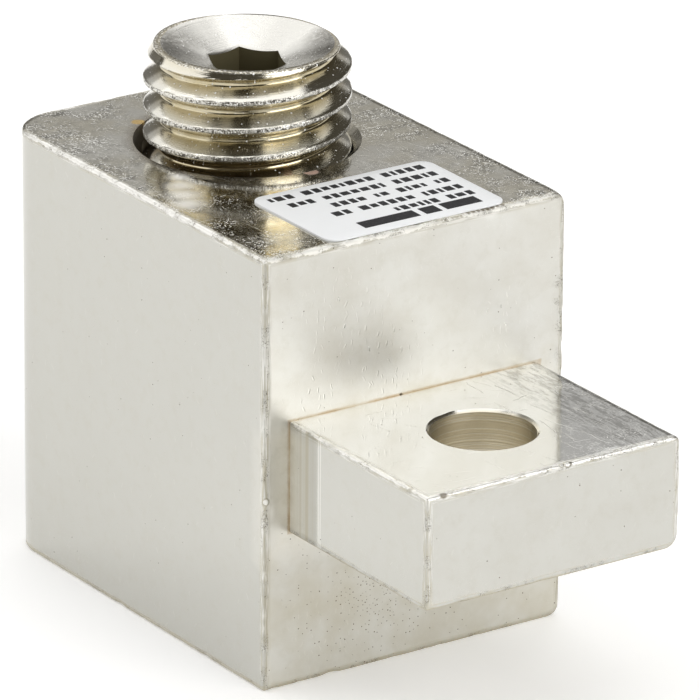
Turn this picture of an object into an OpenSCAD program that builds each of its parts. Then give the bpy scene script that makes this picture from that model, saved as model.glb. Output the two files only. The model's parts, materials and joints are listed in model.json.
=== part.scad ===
// Terminal clamp for one heavy conductor: a tinned metal block with a blind
// cable bore in its back face, a hex-socket clamping screw in its top face and
// a drilled tongue on its front face that bolts onto a switch terminal.
//
// Frame: +Z up, the tongue points along -Y and the cable leaves along +Y.
// The origin is on the underside, midway along the block and tongue together.

/* [Block] */
// Width of the block, left to right
block_w = 30.5; // [27:0.25:44]
// Length of the block along the cable
block_d = 41; // [37:0.25:60]
// Height of the block
block_h = 38.75; // [34:0.25:56]
// Radius of the two upright edges at the cable end
back_corner_r = 4.5; // [2:0.25:7]
// Radius that takes the sharpness off every other edge of the block
edge_r = 0.4; // [0.2:0.1:1]
// Radius of the block's upright front edge on the +X side, which is rounder
right_edge_r = 1.3; // [0.4:0.1:2]

/* [Cable bore] */
// Diameter of the cable bore
cable_bore_d = 21; // [12:0.5:22]
// Metal left under the cable bore
floor_wall = 4.75; // [3:0.25:7]
// Straight depth of the cable bore, without the drill point
cable_bore_l = 30; // [26:0.5:32]
// Chamfer round the mouth of the cable bore
cable_mouth_chamfer = 0.75; // [0.25:0.25:1.5]

/* [Tongue] */
// Width of the tongue
tongue_w = 25.5; // [18:0.25:27]
// Length that the tongue stands out from the block
tongue_l = 20.25; // [16:0.25:34]
// Thickness of the tongue
tongue_t = 10; // [4:0.5:14]
// Height of the tongue's underside above the base
tongue_z = 14; // [3:0.5:18]
// Radius of the tongue's upright front corner on the -X side
tongue_left_r = 0.5; // [0.3:0.1:3]
// Radius of the tongue's upright front corner on the +X side
tongue_right_r = 1.4; // [0.3:0.1:3]
// Radius of the tongue's long edges
tongue_edge_r = 0.3; // [0.1:0.1:0.8]
// Diameter of the bolt hole
bolt_hole_d = 9; // [6:0.5:13]
// Distance from the block's front face to the bolt hole
bolt_hole_y = 10.25; // [8:0.25:14]
// Distance of the bolt hole from the tongue's middle, along X
bolt_hole_x = -0.25; // [-1:0.05:1]
// Chamfer on both ends of the bolt hole
bolt_hole_chamfer = 0.2; // [0.1:0.05:1]

/* [Clamping screw] */
// Distance from the block's front face to the screw's axis
screw_y = 25.75; // [20:0.25:28]
// Outside diameter of the thread
thread_d = 18; // [14:0.5:22]
// Pitch of the thread
thread_pitch = 2.5; // [1.5:0.25:3]
// Length of the screw
screw_l = 21; // [17:0.25:22]
// Height of the screw's rim above the block
screw_proud = 8.75; // [8:0.25:12]
// Diameter of the screw's rim
rim_d = 16; // [13:0.1:17]
// Height over which the rim widens to the full thread
rim_bevel_h = 1.6; // [0.8:0.1:2.5]
// Diameter of the flat end that presses on the cable
tip_d = 13; // [8:0.5:15]
// Depth of the first full crest below the rim, on the +X side
first_crest_drop = 1.6; // [0.5:0.1:2.5]

/* [Key socket] */
// Diameter of the shallow dish at the rim
dish_d = 14.9; // [10:0.1:15.5]
// Half angle of the dish, from the screw's axis
dish_half_angle = 68; // [55:1:75]
// Size of the hexagon across its flats
socket_af = 6.1; // [4:0.1:10]
// Depth of the hexagon, measured from the rim
socket_depth = 10.5; // [7:0.25:13]
// Angle of a hexagon corner from +X
socket_turn = 8.5; // [0:0.5:60]

/* [Rating label] */
// Length of the label along X
label_w = 18; // [12:0.25:24]
// Depth of the label along Y
label_d = 12.25; // [6:0.25:13]
// Thickness of the label
label_t = 0.15; // [0.1:0.05:0.4]
// Radius of the label's corners
label_corner_r = 1.2; // [0.4:0.1:3]
// Distance from the block's front face to the label
label_inset = 0.5; // [0.5:0.05:2]
// Distance of the label's middle from the block's middle
label_shift = 0.6; // [-2:0.1:2]

/* [Fits] */
// Gap all round between the thread and its hole in the block
thread_clearance = 0.08; // [0.05:0.01:0.1]
// Chamfer at the top of the screw's hole
screw_mouth_chamfer = 0.75; // [0.25:0.05:1]

/* [Hidden] */

$fn = 96;
thread_facets = 48;      // flats in one turn of the thread
eps = 0.01;              // overrun of a cut past the face it opens
drill_half_angle = 59;   // half of a twist drill's 118 degree point
flank_half_angle = 30;   // half of the thread's 60 degree groove

front_y = (tongue_l - block_d) / 2;   // front face of the block
back_y = front_y + block_d;           // face that the cable enters
screw_axis_y = front_y + screw_y;
cable_axis_z = floor_wall + cable_bore_d / 2;
rim_z = block_h + screw_proud;
tip_z = rim_z - screw_l;

// Metric thread: flats of pitch/8 on the crest and pitch/6 in the root
crest_flat = thread_pitch / 8;
root_flat = thread_pitch / 6;
flank = (thread_pitch - crest_flat - root_flat) / 2;
crest_r = thread_d / 2;
root_r = crest_r - flank / tan(flank_half_angle);

// Rows that one turn of the thread adds to the mesh, as [height, radius]
turn_rows = [
    [-crest_flat / 2, crest_r],
    [crest_flat / 2, crest_r],
    [crest_flat / 2 + flank, root_r],
    [crest_flat / 2 + flank + root_flat, root_r],
];
rows_per_turn = len(turn_rows);
turns_down = ceil(screw_l / thread_pitch) + 1;
turns_up = ceil(first_crest_drop / thread_pitch) + 1;
thread_rows = rows_per_turn * (turns_down + turns_up) + 1;

// Height of a row above the tip, rising one pitch in each turn
function row_z(station, row) =
    screw_l - first_crest_drop
    + thread_pitch * (floor(row / rows_per_turn) - turns_down + station / thread_facets)
    + turn_rows[row % rows_per_turn][0];

// Radius left by the bevels at the two ends of the screw
function end_r(z) =
    min(tip_d / 2 + z,
        rim_d / 2 + (screw_l - z) * (crest_r - rim_d / 2) / rim_bevel_h);

function polar(r, station, z) =
    let (turn = 360 * station / thread_facets) [r * cos(turn), r * sin(turn), z];

// Index of the point at a station and row. Rows past an end share that end's
// ring, and a station past the last one is the same row, one turn higher up.
function point_at(station, row) =
    let (z = row_z(station, row), s = station % thread_facets)
    z <= 0 ? s
    : z >= screw_l ? thread_facets + s
    : 2 * thread_facets + s * thread_rows + row + (station > s ? rows_per_turn : 0);

function is_triangle(t) = t[0] != t[1] && t[1] != t[2] && t[2] != t[0];

// Rectangle with its own radius on each near corner and one on its far corners
module plate_outline(w, d, left_r, right_r, far_r) {
    near_r = max(left_r, right_r);
    translate([-w / 2 + left_r, 0]) square([w - left_r - right_r, d / 2]);
    translate([-w / 2, left_r]) square([w / 2, d / 2 - left_r]);
    translate([0, right_r]) square([w / 2, d / 2 - right_r]);
    translate([-w / 2, near_r]) square([w, d - near_r - far_r]);
    translate([-w / 2 + far_r, d / 2]) square([w - 2 * far_r, d / 2]);
    translate([left_r - w / 2, left_r]) circle(left_r);
    translate([w / 2 - right_r, right_r]) circle(right_r);
    for (side = [-1, 1])
        translate([side * (w / 2 - far_r), d - far_r]) circle(far_r);
}

// Rectangle with the same radius on all its corners
module even_outline(w, d, r) {
    plate_outline(w, d, r, r, r);
}

// Bar that runs along +Y, with its long edges and its end edges rounded
module soft_bar(w, d, h, left_r, right_r, far_r, long_r) {
    intersection() {
        linear_extrude(h) plate_outline(w, d, left_r, right_r, far_r);
        translate([0, d + eps, 0]) rotate([90, 0, 0])
            linear_extrude(d + 2 * eps) even_outline(w, h, long_r);
        translate([-w / 2 - eps, d / 2, 0]) rotate([90, 0, 90])
            linear_extrude(w + 2 * eps) even_outline(d, h, long_r);
    }
}

// Blind hole along +Z from the origin with a drill point and a chamfered mouth
module drilled_hole(r, depth, chamfer) {
    translate([0, 0, -depth]) cylinder(r = r, h = depth + eps);
    translate([0, 0, -depth]) mirror([0, 0, 1])
        cylinder(r1 = r, r2 = 0, h = r / tan(drill_half_angle));
    mouth_chamfer(r, chamfer);
}

// Cone that breaks the edge of a hole whose mouth is at the origin, facing +Z
module mouth_chamfer(r, chamfer) {
    translate([0, 0, -chamfer])
        cylinder(r1 = r, r2 = r + chamfer + eps, h = chamfer + eps);
}

module bolt_hole() {
    translate([bolt_hole_x, front_y - bolt_hole_y, tongue_z]) {
        translate([0, 0, -eps]) cylinder(d = bolt_hole_d, h = tongue_t + 2 * eps);
        translate([0, 0, tongue_t]) mouth_chamfer(bolt_hole_d / 2, bolt_hole_chamfer);
        mirror([0, 0, 1]) mouth_chamfer(bolt_hole_d / 2, bolt_hole_chamfer);
    }
}

module screw_hole() {
    hole_r = crest_r + thread_clearance;
    translate([0, screw_axis_y, cable_axis_z])
        cylinder(r = hole_r, h = block_h - cable_axis_z + eps);
    translate([0, screw_axis_y, block_h]) mouth_chamfer(hole_r, screw_mouth_chamfer);
}

module cable_bore() {
    translate([0, back_y, cable_axis_z]) rotate([-90, 0, 0])
        drilled_hole(cable_bore_d / 2, cable_bore_l, cable_mouth_chamfer);
}

module terminal_body() {
    tongue_root = edge_r + 1;   // length of the tongue that lies inside the block
    color("silver") difference() {
        union() {
            translate([0, front_y, 0])
                soft_bar(block_w, block_d, block_h,
                         edge_r, right_edge_r, back_corner_r, edge_r);
            translate([0, front_y - tongue_l, tongue_z])
                soft_bar(tongue_w, tongue_l + tongue_root, tongue_t,
                         tongue_left_r, tongue_right_r, tongue_edge_r, tongue_edge_r);
        }
        cable_bore();
        screw_hole();
        bolt_hole();
    }
}

// Screw blank with its thread cut, standing on its tip at the origin
module threaded_blank() {
    stations = [0 : thread_facets - 1];
    ends = [
        for (s = stations) polar(end_r(0), s, 0),
        for (s = stations) polar(end_r(screw_l), s, screw_l),
    ];
    grid = [
        for (s = stations, row = [0 : thread_rows - 1])
            let (z = row_z(s, row))
            polar(min(turn_rows[row % rows_per_turn][1], end_r(z)), s, z),
    ];
    flanks = [
        for (s = stations, row = [0 : thread_rows - 2])
            let (a = point_at(s, row), b = point_at(s + 1, row),
                 c = point_at(s + 1, row + 1), d = point_at(s, row + 1))
            for (t = [[a, d, c], [a, c, b]]) if (is_triangle(t)) t,
    ];
    tip = [for (s = stations) s];
    rim = [for (s = stations) 2 * thread_facets - 1 - s];
    polyhedron(concat(ends, grid), concat([tip, rim], flanks));
}

// Dish, hexagon and the drill point that the hexagon was broached into
module key_socket() {
    dish_cone_h = dish_d / 2 / tan(dish_half_angle);
    above_rim = 1;
    translate([0, 0, -dish_cone_h])
        cylinder(r1 = 0, r2 = dish_d / 2 + above_rim * tan(dish_half_angle),
                 h = dish_cone_h + above_rim);
    translate([0, 0, -socket_depth]) rotate(socket_turn)
        cylinder(d = socket_af / cos(30), h = socket_depth, $fn = 6);
    translate([0, 0, -socket_depth + eps]) mirror([0, 0, 1])
        cylinder(d1 = socket_af, d2 = 0, h = socket_af / 2 / tan(drill_half_angle));
}

module clamp_screw() {
    color([0.80, 0.77, 0.70]) translate([0, screw_axis_y, tip_z]) difference() {
        threaded_blank();
        translate([0, 0, screw_l]) key_socket();
    }
}

module rating_label() {
    color("whitesmoke") translate([label_shift, front_y + label_inset, block_h])
        linear_extrude(label_t) even_outline(label_w, label_d, label_corner_r);
}

terminal_body();
clamp_screw();
rating_label();
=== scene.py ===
# %% [markdown]
# # A screw terminal clamp in tinned metal
# The object is a block the size of a matchbox, plated with tin. A cable end goes into a
# blind bore in its back, a socket screw in its top clamps the cable, and a drilled tongue
# on its front bolts to a switch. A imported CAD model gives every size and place. This
# notebook dresses that model: it makes finer surfaces for the three real pieces, gives
# each a finish, and lights them for a studio picture.

# %% Open the frame
import json
import math
from types import SimpleNamespace

import bpy
import numpy as np
from mathutils import Matrix, Vector


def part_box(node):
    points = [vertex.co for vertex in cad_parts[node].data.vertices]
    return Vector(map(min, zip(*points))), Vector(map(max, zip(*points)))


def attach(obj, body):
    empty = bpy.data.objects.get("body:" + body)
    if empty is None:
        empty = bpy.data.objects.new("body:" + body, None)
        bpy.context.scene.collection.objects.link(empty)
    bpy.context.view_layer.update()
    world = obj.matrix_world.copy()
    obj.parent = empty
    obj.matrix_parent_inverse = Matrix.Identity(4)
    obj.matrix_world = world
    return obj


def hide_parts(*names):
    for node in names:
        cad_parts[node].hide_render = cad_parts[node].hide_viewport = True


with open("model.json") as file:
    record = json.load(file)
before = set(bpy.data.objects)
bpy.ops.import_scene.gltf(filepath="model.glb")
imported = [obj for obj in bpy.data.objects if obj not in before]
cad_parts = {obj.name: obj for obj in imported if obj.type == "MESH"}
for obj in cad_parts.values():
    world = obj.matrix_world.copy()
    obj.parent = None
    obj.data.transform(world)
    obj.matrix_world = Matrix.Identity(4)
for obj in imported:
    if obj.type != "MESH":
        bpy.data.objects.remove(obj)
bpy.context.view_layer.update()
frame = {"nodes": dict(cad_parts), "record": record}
MM = 0.001

# %% [markdown]
# ## Sizes come from the frame
# The CAD pieces hold their place in their vertices, so the block, the tongue and the screw
# can be measured straight from them. The record's mounts give the two bores. Only what the
# frame can't tell, such as the pitch of the thread, is written here as a value.


# %% Measure the CAD pieces
def mesh_points(mesh):
    """All the vertices of a mesh, as an array with a row for each."""
    points = np.empty(3 * len(mesh.vertices), np.float32)
    mesh.vertices.foreach_get("co", points)
    return points.reshape(-1, 3).astype(float)


metal = mesh_points(frame["nodes"]["terminal_body"].data)
half_width = metal[:, 0].max()
block_top = metal[:, 2].max()
back_y = metal[:, 1].max()
front_y = metal[metal[:, 2] < 3 * MM][:, 1].min()
tongue_metal = metal[metal[:, 1] < front_y - MM]
tongue_low, tongue_high = tongue_metal.min(0), tongue_metal.max(0)

mounts = {m["name"]: m for m in frame["record"]["mounts"]}
bolt_hole, cable_bore = mounts["bolt_hole"], mounts["cable_bore"]

screw_low, screw_high = (np.array(corner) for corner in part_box("clamp_screw"))
screw_x, screw_y = (screw_low[:2] + screw_high[:2]) / 2
tip_z, rim_z = screw_low[2], screw_high[2]
crest_r = (screw_high[0] - screw_low[0]) / 2
label_low, label_high = (np.array(corner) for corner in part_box("rating_label"))
print("block", np.round(1000 * np.array([2 * half_width, back_y - front_y, block_top]), 2))
print("screw radius", round(1000 * crest_r, 2), "rim", round(1000 * rim_z, 2))

# %% [markdown]
# ## Grids
# Every new surface is a grid of points, worked out at once from two parameters. One helper
# numbers the corners of its cells, another welds points that meet and closes the poles.


# %% Cells, welding and a new piece
def cells(rows, columns):
    """Corner numbers of a grid's cells, in the order that faces row x column direction."""
    number = np.arange(rows * columns).reshape(rows, columns)
    corners = number[:-1, :-1], number[1:, :-1], number[1:, 1:], number[:-1, 1:]
    return np.stack([c.ravel() for c in corners], axis=1)


def weld(points, quads, reach=1e-7):
    """Merge points that lie within reach. A cell whose side shrank to a point is a triangle."""
    keys = np.round(points / reach).astype(np.int64)
    _, first, merged = np.unique(keys, axis=0, return_index=True, return_inverse=True)
    quads = merged.reshape(-1)[quads]
    shrunk = quads == np.roll(quads, -1, axis=1)
    whole = quads[shrunk.sum(1) == 0]
    pinched, where = quads[shrunk.sum(1) == 1], shrunk[shrunk.sum(1) == 1]
    triangles = pinched[~where].reshape(-1, 3)
    return points[first], whole.tolist() + triangles.tolist()


def placed(name, data):
    """A new object in the scene that shows a mesh, a lamp or a camera."""
    thing = bpy.data.objects.new(name, data)
    bpy.context.scene.collection.objects.link(thing)
    return thing


def new_piece(name, points, faces):
    """A smooth mesh object at the origin, its place held in its vertices."""
    mesh = bpy.data.meshes.new(name)
    mesh.from_pydata(points.tolist(), [], faces)
    mesh.shade_smooth()
    return placed(name, mesh)


def lathe(rows, centre, axis="Z", stations=192):
    """Turn a profile about an axis: each row is [radius, height], the first and last on it."""
    radius, height = np.array(rows, float).T[:, None, :]
    turn = np.linspace(0, 2 * np.pi, stations + 1)[:, None]
    flat = [radius * np.cos(turn), radius * np.sin(turn), height + 0 * turn]
    order = {"Z": (0, 1, 2), "Y": (1, 2, 0)}[axis]
    points = np.stack([flat[i] for i in order], axis=-1).reshape(-1, 3)
    return weld(points + centre, cells(stations + 1, len(rows)))

# %% [markdown]
# ## The skin of the block
# A machined block looks real when its edges catch the light, so the shape is written as
# one distance function: how far a point is from a bar whose edges are rounded, most of
# them tightly, the long ones on its right side more fully and its two far corners most.
# Six flat grids are laid on a sharp box and each point is pulled to where the distance is
# nothing. Flat faces stay flat, and the edges come out round.

# %% Distance to a rounded bar
# Radii of the front edges, the right top and bottom edges, the far corners and the rest
BLOCK_RADII = np.array([0.38, 0.8, 1.1, 4.5, 0.3]) * MM
TONGUE_RADII = np.array([0.25, 0.7, 1.3, 0.25, 0.22]) * MM


def rounded(first, second, radius):
    """The larger of two distances, with the corner where they meet rounded.

    Both sides are moved in by the radius, the length of what sticks out past them is
    taken, and the radius is given back.
    """
    a, b = first + radius, second + radius
    return (np.hypot(np.maximum(a, 0), np.maximum(b, 0)) + np.minimum(np.maximum(a, b), 0)
            - radius)


def bar_distance(points, low, high, front_r, top_r, foot_r, far_r, long_r):
    """Distance to a bar along Y, in two halves that agree at its middle.

    The near half rounds its section across Y first, by top_r and foot_r on the +X side
    and long_r on the other, then its front edges. The far half rounds its plan by far_r
    first, then its rim by the section's radius times the share of X in the plan's slope.
    """
    centre, half = (low + high) / 2, (high - low) / 2
    x, y, z = (np.abs(points - centre) - half).T
    right_r = np.where(points[:, 2] > centre[2], top_r, foot_r)
    side_r = np.where(points[:, 0] > centre[0], right_r, long_r)
    near = rounded(rounded(x, z, side_r), y, front_r)
    reach = np.maximum(far_r, side_r)
    over_x, over_y = np.maximum(x + reach, 0), np.maximum(y + reach, 0)
    share = over_x**2 / (over_x**2 + over_y**2 + 1e-18)
    far = rounded(rounded(x, y, far_r), z, long_r + (side_r - long_r) * share)
    return np.where(points[:, 1] > centre[1], far, near)


def slope(distance, points, step=1e-6):
    """Direction in which the distance grows, from differences along X, Y and Z."""
    sides = [distance(points + d) - distance(points - d) for d in step * np.eye(3)]
    grown = np.stack(sides, axis=1)
    return grown / np.linalg.norm(grown, axis=1, keepdims=True)


# %% [markdown]
# Grid lines stand close together at the edges, where the rounding and the dents are, and
# wider in the middle of a face. Each face of the sharp box is the product of two such
# sets of lines.


# %% Six faces on a sharp box
FACE_STEP = 0.42 * MM
ROUND_STEPS = 4


def lines(low, high, edge):
    """Places along one side: even angles across each edge's rounding, even steps between."""
    angle = np.linspace(0, np.pi / 4, ROUND_STEPS + 1)
    inset = edge * (1 - np.tan(angle[::-1]))
    count = max(2, round((high - low - 2 * edge) / FACE_STEP))
    middle = np.linspace(low + edge, high - edge, count + 1)
    return np.concatenate([low + inset[:-1], middle, high - inset[:-1][::-1]])


def sharp_box(low, high, edge):
    """Grid points and cells of a box's six faces, every cell facing outwards."""
    along = [lines(low[i], high[i], edge) for i in range(3)]
    points, quads, used = [], [], 0
    for axis in range(3):
        first, second = (axis + 1) % 3, (axis + 2) % 3
        for end in (low, high):
            a, b = (first, second) if end is high else (second, first)
            grid = np.empty((len(along[a]), len(along[b]), 3))
            grid[..., axis] = end[axis]
            grid[..., a] = along[a][:, None]
            grid[..., b] = along[b][None, :]
            points.append(grid.reshape(-1, 3))
            quads.append(cells(*grid.shape[:2]) + used)
            used += len(points[-1])
    return np.concatenate(points), np.concatenate(quads)


# %% [markdown]
# ## Knocks and nicks
# The real block was tumbled with others, so its edges carry small dents. Each dent is a
# soft bump in depth round one point, and the skin is pushed in by the sum of them. A few
# are listed one by one, and a seeded crowd of smaller ones is scattered along the edges.

# %% Dents
rng = np.random.default_rng(11)
block_low = np.array([-half_width, front_y, 0.0])
block_high = np.array([half_width, back_y, block_top])


def scattered(low, high, count):
    """Rows of X, Y, Z, radius and depth for dents on a box's edges: two coordinates are
    on a side, the third is anywhere."""
    place = low + rng.random((count, 3)) * (high - low)
    free = rng.integers(0, 3, count)
    side = np.where(rng.random((count, 3)) < 0.5, low, high)
    points = np.where(np.arange(3) == free[:, None], place, side)
    return np.column_stack([points, rng.uniform(0.4, 0.9, count) * MM,
                            rng.uniform(0.01, 0.05, count) * MM])


def dent_depth(points, dents):
    """Sum over the dents of depth x (1 - (distance / radius)^2)^2 inside each radius."""
    total = np.zeros(len(points))
    for *centre, radius, depth in dents:
        near = 1 - ((points - centre) ** 2).sum(1) / radius**2
        total += depth * np.maximum(near, 0) ** 2
    return total


HAND_DENTS = [
    # X, Y, Z from the block's front left foot, radius and depth, in mm
    (0.0, 0.0, 16.2, 1.0, 0.20), (0.1, 0.0, 11.0, 0.7, 0.08),
    (0.0, 22.5, 0.2, 0.9, 0.10), (0.0, 9.0, 0.1, 0.8, 0.08),
    (30.5, 0.0, 27.5, 1.2, 0.05), (30.4, 0.0, 24.6, 1.0, 0.06),
    (30.5, 0.0, 22.0, 0.8, 0.05), (15.5, 0.0, 38.7, 1.1, 0.10),
    (9.0, 0.0, 38.7, 0.8, 0.12), (22.5, 0.0, 38.7, 0.9, 0.12),
    (0.0, 14.0, 38.7, 0.9, 0.10), (7.0, 0.0, 0.0, 1.0, 0.15),
    (30.5, 0.0, 38.7, 1.3, 0.18), (26.5, 0.0, 38.7, 0.8, 0.12),
]
by_hand = np.array(HAND_DENTS) * MM


# %% Build the skins
def dented_skin(low, high, edge_radii, dents):
    """Sharp box, pulled onto the rounded bar, then pushed in by its dents."""

    def distance(p):
        return bar_distance(p, low, high, *edge_radii)

    points, quads = sharp_box(low, high, edge_radii[-1])
    for _ in range(3):
        points = points - distance(points)[:, None] * slope(distance, points)
    inward = -slope(distance, points)
    points = points + dent_depth(points, dents)[:, None] * inward
    return weld(points, quads)


BLOCK_DENTS, TONGUE_DENTS = 150, 60
ROOT_DEPTH = 1.5 * MM
by_hand[:, :3] += block_low
block_dents = np.concatenate([by_hand, scattered(block_low, block_high, BLOCK_DENTS)])
block_skin = dented_skin(block_low, block_high, BLOCK_RADII, block_dents)

tongue_end = np.array([tongue_high[0], front_y + ROOT_DEPTH, tongue_high[2]])
tongue_skin = dented_skin(tongue_low, tongue_end, TONGUE_RADII,
                          scattered(tongue_low, tongue_high, TONGUE_DENTS))
print("block skin", len(block_skin[1]), "faces; tongue skin", len(tongue_skin[1]))

# %% [markdown]
# ## Holes
# The tongue grows out of the block as one piece of metal, so the two skins are united.
# Then three turned plugs are cut away: the cable bore with its drill point, the screw's
# hole and the bolt hole. A Boolean modifier does each cut, which leaves crisp rims on the
# flat faces, as a cutter does.


# %% Unite, cut and finish
def combined(piece, other, operation):
    """Apply one Boolean of another piece to this one, and remove the other."""
    modifier = piece.modifiers.new(operation.lower(), "BOOLEAN")
    modifier.operation = operation
    modifier.solver = "EXACT"
    modifier.object = other
    bpy.context.view_layer.update()
    solved = piece.evaluated_get(bpy.context.evaluated_depsgraph_get())
    result = bpy.data.meshes.new_from_object(solved)
    piece.modifiers.clear()
    piece.data = result
    bpy.data.objects.remove(other)


CLEAR = 2 * MM
DRILL_SLOPE = math.tan(math.radians(59))
BORE_CHAMFER = 0.75 * MM
SCREW_CHAMFER = 0.75 * MM
BOLT_CHAMFER = 0.25 * MM
THREAD_GAP = 0.08 * MM

bore_r = cable_bore["dims"]["r_mm"] * MM
bore_wall = cable_bore["dims"]["length_mm"] * MM
bore_z = cable_bore["pos_m"][2]
bore_end = back_y - BORE_CHAMFER - bore_wall
bore_plug = lathe(
    [[0, bore_end - bore_r / DRILL_SLOPE], [bore_r, bore_end],
     [bore_r, back_y - BORE_CHAMFER], [bore_r + BORE_CHAMFER, back_y],
     [bore_r + BORE_CHAMFER + CLEAR, back_y + CLEAR], [0, back_y + CLEAR]],
    (0, 0, bore_z), axis="Y")

hole_r = crest_r + THREAD_GAP
screw_plug = lathe(
    [[0, bore_z], [hole_r, bore_z], [hole_r, block_top - SCREW_CHAMFER],
     [hole_r + SCREW_CHAMFER, block_top],
     [hole_r + SCREW_CHAMFER + CLEAR, block_top + CLEAR], [0, block_top + CLEAR]],
    (screw_x, screw_y, 0))

bolt_r = bolt_hole["dims"]["r_mm"] * MM
under, over = tongue_low[2], tongue_high[2]
wide = bolt_r + BOLT_CHAMFER
bolt_plug = lathe(
    [[0, under - CLEAR], [wide + CLEAR, under - CLEAR], [wide, under],
     [bolt_r, under + BOLT_CHAMFER], [bolt_r, over - BOLT_CHAMFER],
     [wide, over], [wide + CLEAR, over + CLEAR], [0, over + CLEAR]],
    (*bolt_hole["pos_m"][:2], 0))

block = new_piece("block_and_tongue", *block_skin)
combined(block, new_piece("tongue", *tongue_skin), "UNION")
for plug in (bore_plug, screw_plug, bolt_plug):
    combined(block, new_piece("plug", *plug), "DIFFERENCE")
block.data.shade_smooth()
block.data.set_sharp_from_angle(angle=math.radians(32))
print("block and tongue:", len(block.data.polygons), "faces")

# %% [markdown]
# ## The clamping screw
# A right-handed thread is a ridge whose height above the axis depends on one number: how
# far a point is from the nearest crest, once the turn is paid back by the pitch. So the
# whole screw is one grid of turn and row. Its rows climb the tip, the thread and the rim,
# go down the dish, and end in the hexagon, which the dish cuts into six scallops.

# %% Thread and ends
PITCH = 2.5 * MM
FIRST_CREST_DROP = 1.6 * MM
CREST_FLAT = PITCH / 8
ROOT_FLAT = PITCH / 6
THREAD_SOFTNESS = 0.16 * MM
TIP_R = 6.5 * MM
RIM_R = 8.0 * MM
RIM_BEVEL_H = 1.6 * MM
TURN_STATIONS = 240
ROW_STEP = 0.085 * MM
flank_run = (PITCH - CREST_FLAT - ROOT_FLAT) / 2
root_r = crest_r - flank_run * math.sqrt(3)


def soft_min(a, b, width):
    """The smaller of two values, with their crossing rounded over the width."""
    mix = np.clip(0.5 + (b - a) / (2 * width), 0, 1)
    return b + (a - b) * mix - width * mix * (1 - mix)


def thread_radius(turn, z):
    """Radius of the screw's flank at a turn (radians) and a height.

    The distance from a crest is the height, less one pitch for each turn, folded into
    half a pitch. From the crest's flat the flank falls by root 3 of that distance to the
    root, and both corners are rounded. The bevels at tip and rim then trim it.
    """
    crest = rim_z - FIRST_CREST_DROP + PITCH * turn / (2 * np.pi)
    from_crest = np.abs((z - crest + PITCH / 2) % PITCH - PITCH / 2)
    fall = np.maximum(from_crest - CREST_FLAT / 2, 0) * math.sqrt(3)
    ridge = soft_min(crest_r - fall, crest_r - 0.1 * THREAD_SOFTNESS, THREAD_SOFTNESS)
    ridge = -soft_min(-ridge, -root_r + 0 * ridge, THREAD_SOFTNESS)
    tip_bevel = TIP_R + (z - tip_z)
    rim_bevel = RIM_R + (rim_z - z) * (crest_r - RIM_R) / RIM_BEVEL_H
    return soft_min(soft_min(ridge, rim_bevel, THREAD_SOFTNESS), tip_bevel, THREAD_SOFTNESS)


# %% Rim, dish and hexagon
DISH_R = 7.45 * MM
DISH_SLOPE = 1 / math.tan(math.radians(68))
SOCKET_FLAT = 3.05 * MM
SOCKET_DEPTH = 10.5 * MM
SOCKET_TURN = math.radians(8.5)
RIM_SOFT = 0.12 * MM


def hexagon_radius(turn):
    """Distance from the axis to the hexagon's side, flat / cos(angle from its middle)."""
    from_middle = (turn - SOCKET_TURN) % (np.pi / 3) - np.pi / 6
    return SOCKET_FLAT / np.cos(from_middle)


def screw_grid():
    """Radius and height of every point, as arrays of turn x row from tip to socket floor."""
    turn = SOCKET_TURN + np.linspace(0, 2 * np.pi, TURN_STATIONS + 1)[:, None]
    hexagon = hexagon_radius(turn)
    mouth = rim_z - (DISH_R - hexagon) * DISH_SLOPE
    floor_z = rim_z - SOCKET_DEPTH
    flank_z = np.linspace(tip_z, rim_z - RIM_SOFT, round((rim_z - tip_z) / ROW_STEP))[None]
    roll = np.linspace(0, np.pi / 2, 5)[None, 1:]
    down = np.linspace(0, 1, 13)[None]
    flank_top = thread_radius(turn, flank_z[:, -1:])
    bands = [
        (np.linspace(0, 0.96, 9)[None] * TIP_R, tip_z + 0 * turn),
        (thread_radius(turn, flank_z), flank_z),
        (flank_top - RIM_SOFT * (1 - np.cos(roll)), rim_z - RIM_SOFT * (1 - np.sin(roll))),
        (DISH_R + (hexagon - DISH_R) * down, rim_z + (mouth - rim_z) * down),
        (hexagon - 0.01 * MM, mouth - 0.01 * MM),
        (hexagon - 0.01 * MM, mouth + (floor_z - mouth) * down[:, 1:]),
        (SOCKET_FLAT * 0.98 * (1 - down), floor_z - SOCKET_FLAT * down / DRILL_SLOPE),
    ]
    shapes = [np.broadcast_arrays(radius + 0 * turn, z + 0 * turn) for radius, z in bands]
    radius = np.concatenate([s[0] for s in shapes], axis=1)
    height = np.concatenate([s[1] for s in shapes], axis=1)
    return turn, radius, height


turn, radius, height = screw_grid()
screw_points = np.stack([screw_x + radius * np.cos(turn),
                         screw_y + radius * np.sin(turn), height], axis=-1)
screw_skin = weld(screw_points.reshape(-1, 3), cells(*radius.shape))
screw = new_piece("socket_screw", *screw_skin)
screw.data.set_sharp_from_angle(angle=math.radians(38))
print("socket screw:", len(screw.data.polygons), "faces")

# %% [markdown]
# ## The label
# A white film, a little thicker than paper, is stuck on top of the block. Its edge is a
# rounded rectangle. Rings of that outline, each a little further in, make the film's wall,
# its soft lip and its flat top. The print is left as plain blocks and bars: it says nothing.


# %% Film
def rounded_ring(centre, half, corner, inset, stations=24):
    """Points round a rectangle with round corners, moved in by the inset."""
    turn = np.linspace(0, np.pi / 2, stations)
    quarters = []
    for step, (sx, sy) in enumerate(((1, 1), (-1, 1), (-1, -1), (1, -1))):
        middle = centre + np.array([sx, sy]) * (half - corner)
        angle = turn + step * np.pi / 2
        ray = np.stack([np.cos(angle), np.sin(angle)], axis=1)
        quarters.append(middle + (corner - inset) * ray)
    ring = np.concatenate(quarters)
    return np.concatenate([ring, ring[:1]])


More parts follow.
